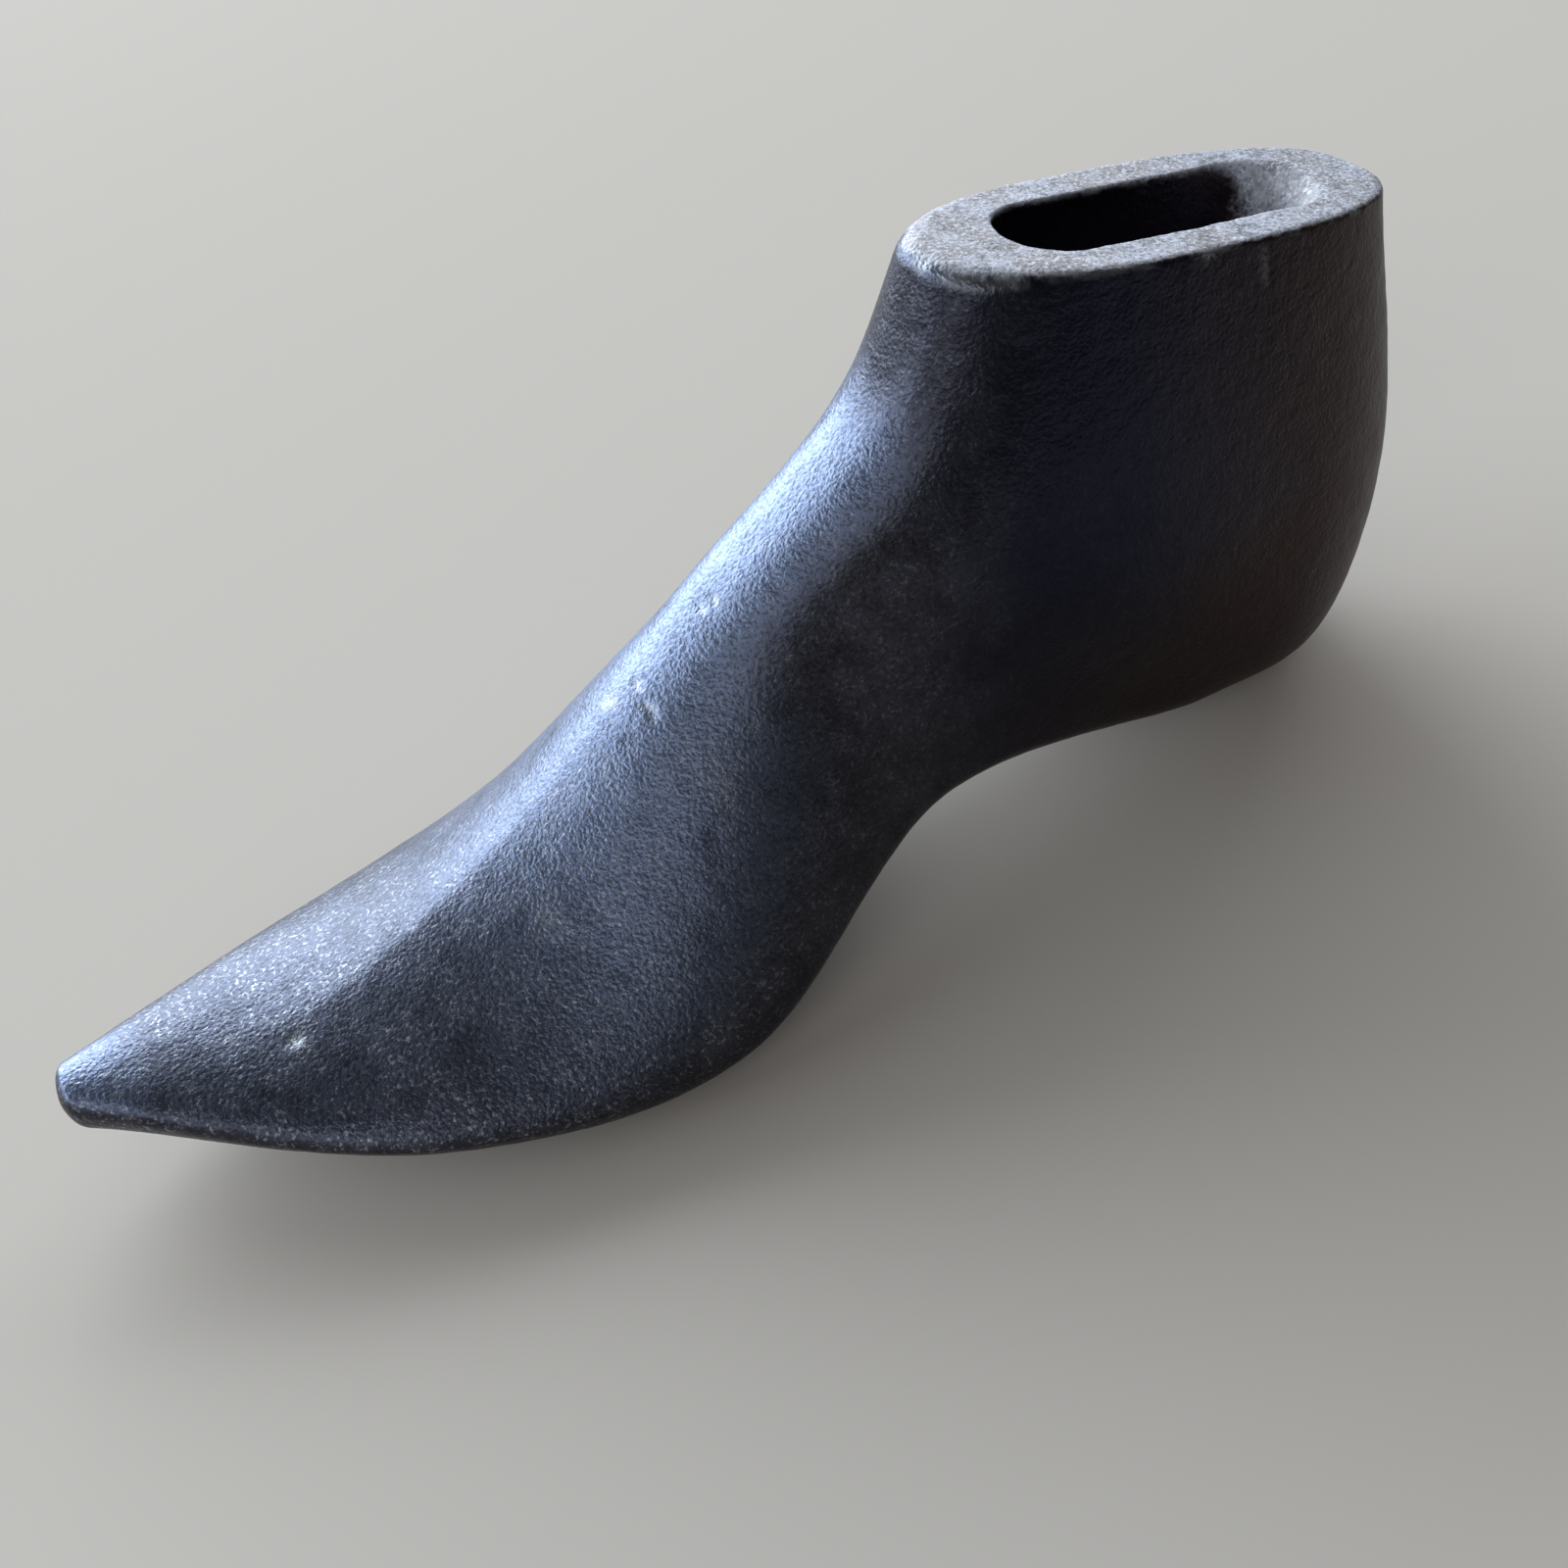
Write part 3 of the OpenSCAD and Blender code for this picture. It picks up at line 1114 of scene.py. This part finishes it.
    def strike(self, mesh: bpy.types.Mesh) -> None:
        """Presses the dents into the mesh and paints them.

        Args:
            mesh: The mesh.
        """
        count = len(mesh.vertices)
        flat = np.empty(count * 3, np.float32)
        mesh.vertices.foreach_get("co", flat)
        points = flat.reshape(-1, 3).astype(float) / MM
        normals = self.normals(mesh).astype(float)
        marked = np.zeros(count)
        for dent in self.dents:
            shape = dent.imprint(points, normals)
            points = points - normals * (dent.depth * shape)[:, None]
            marked = np.maximum(marked, shape * dent.shine)
        mesh.vertices.foreach_set("co", (points * MM).astype(np.float32).ravel())
        mesh.update()
        self.paint(mesh, Zone.DING, marked)

    def cast(self, piece: bpy.types.Object) -> None:
        """Gives the piece its surface relief and finish, and leaves it a plain mesh.

        Args:
            piece: The piece.
        """
        tree, values = self.skin.tree(self.finish.make())
        modifier = piece.modifiers.new("cast_skin", "NODES")
        modifier.node_group = tree
        for identifier, value in values.items():
            modifier[identifier] = value
        graph = bpy.context.evaluated_depsgraph_get()
        plain = bpy.data.meshes.new_from_object(
            piece.evaluated_get(graph), preserve_all_data_layers=True, depsgraph=graph)
        piece.modifiers.remove(modifier)
        piece.data = plain
        plain.shade_smooth()


@dataclass(frozen=True)
class Lamp:
    """A soft lamp: its direction from the last, size in metres, power in watts and colour."""

    name: str
    way: Triple
    size: tuple[float, float]
    watts: float
    colour: Colour


@dataclass(frozen=True)
class Studio:
    """Pale floor, soft window light and the camera, in metres, degrees and pixels."""

    floor_colour: Colour = (0.63, 0.585, 0.535)
    floor_radius: float = 1.2
    floor_sides: int = 96
    world_colour: Colour = (1.0, 0.98, 0.98)
    world_strength: float = 0.12
    lamp_distance: float = 5.0
    lamps: tuple[Lamp, ...] = (
        Lamp("window_light", (0.131, -0.931, 0.342), (5.0, 3.4), 430.0, (0.84, 0.925, 1.0)),
        Lamp("toe_light", (0.830, -0.440, 0.390), (4.5, 1.8), 126.0, (0.84, 0.925, 1.0)),
        Lamp("fill_light", (0.709, 0.497, 0.500), (3.8, 2.5), 48.0, (0.95, 0.97, 1.0)),
        Lamp("rim_light", (-0.629, -0.698, 0.342), (4.2, 2.3), 104.0, (0.90, 0.95, 1.0)),
    )
    target: Triple = (0.000847, 0.000960, 0.018264)
    azimuth: float = 66.654
    elevation: float = 46.991
    roll: float = 9.115
    distance: float = 0.244489
    focal: float = 1526.354
    image: float = 1600.0
    sensor_width: float = 36.0
    clip: tuple[float, float] = (0.005, 20.0)

    def build(self) -> None:
        """Sets up floor, lights, world and camera."""
        bpy.context.scene.view_settings.view_transform = "Standard"
        self.floor()
        self.world()
        for lamp in self.lamps:
            self.hang(lamp)
        self.camera()

    def floor(self) -> None:
        """A round pale floor under the last."""
        mesh = bpy.data.meshes.new("floor")
        steps = np.linspace(0.0, 2 * math.pi, self.floor_sides + 1)[:-1]
        rim = [(self.floor_radius * math.cos(a), self.floor_radius * math.sin(a), 0.0)
               for a in steps]
        mesh.from_pydata(rim, [], [list(range(len(rim)))])
        material = bpy.data.materials.new("floor")
        material.use_nodes = True
        shader = material.node_tree.nodes["Principled BSDF"]
        shader.inputs["Base Color"].default_value = rgba(self.floor_colour)
        shader.inputs["Roughness"].default_value = 1.0
        shader.inputs["Specular IOR Level"].default_value = 0.0
        mesh.materials.append(material)
        floor = bpy.data.objects.new("floor", mesh)
        bpy.context.scene.collection.objects.link(floor)

    def world(self) -> None:
        """Even pale light from all round."""
        world = bpy.data.worlds.new("studio")
        world.use_nodes = True
        back = world.node_tree.nodes["Background"]
        back.inputs["Color"].default_value = rgba(self.world_colour)
        back.inputs["Strength"].default_value = self.world_strength
        bpy.context.scene.world = world

    def hang(self, lamp: Lamp) -> None:
        """Adds a soft lamp that faces the last.

        Args:
            lamp: The lamp.
        """
        data = bpy.data.lights.new(lamp.name, "AREA")
        data.shape = "RECTANGLE"
        data.size, data.size_y = lamp.size
        data.energy = lamp.watts
        data.color = lamp.colour
        light = bpy.data.objects.new(lamp.name, data)
        direction = Vector(lamp.way).normalized()
        light.location = Vector(self.target) + direction * self.lamp_distance
        light.rotation_euler = direction.to_track_quat("Z", "Y").to_euler()
        bpy.context.scene.collection.objects.link(light)

    def camera(self) -> None:
        """The camera, from the outer side of the toe and well above the last."""
        az, el = math.radians(self.azimuth), math.radians(self.elevation)
        back = Vector((math.cos(el) * math.cos(az), math.cos(el) * math.sin(az), math.sin(el)))
        right = (-back).cross(Vector((0.0, 0.0, 1.0))).normalized()
        up = back.cross(right)
        roll = math.radians(self.roll)
        across = right * math.cos(roll) - up * math.sin(roll)
        upright = up * math.cos(roll) + right * math.sin(roll)
        data = bpy.data.cameras.new("camera")
        data.sensor_fit = "HORIZONTAL"
        data.sensor_width = self.sensor_width
        data.lens = data.sensor_width * self.focal / self.image
        data.clip_start, data.clip_end = self.clip
        camera = bpy.data.objects.new("camera", data)
        matrix = Matrix((across, upright, back)).transposed().to_4x4()
        matrix.translation = Vector(self.target) + back * self.distance
        camera.matrix_world = matrix
        bpy.context.scene.collection.objects.link(camera)
        bpy.context.scene.camera = camera


def main() -> None:
    """Builds the casting and the studio."""
    logging.basicConfig(level=logging.INFO, format="%(name)s: %(message)s")
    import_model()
    piece = LastCasting().build()
    LOG.info("%s: %d faces", piece.name, len(piece.data.polygons))
    Studio().build()
    LOG.info("studio: floor, lamps and camera")
    bpy.context.view_layer.update()


if __name__ == "__main__":
    main()
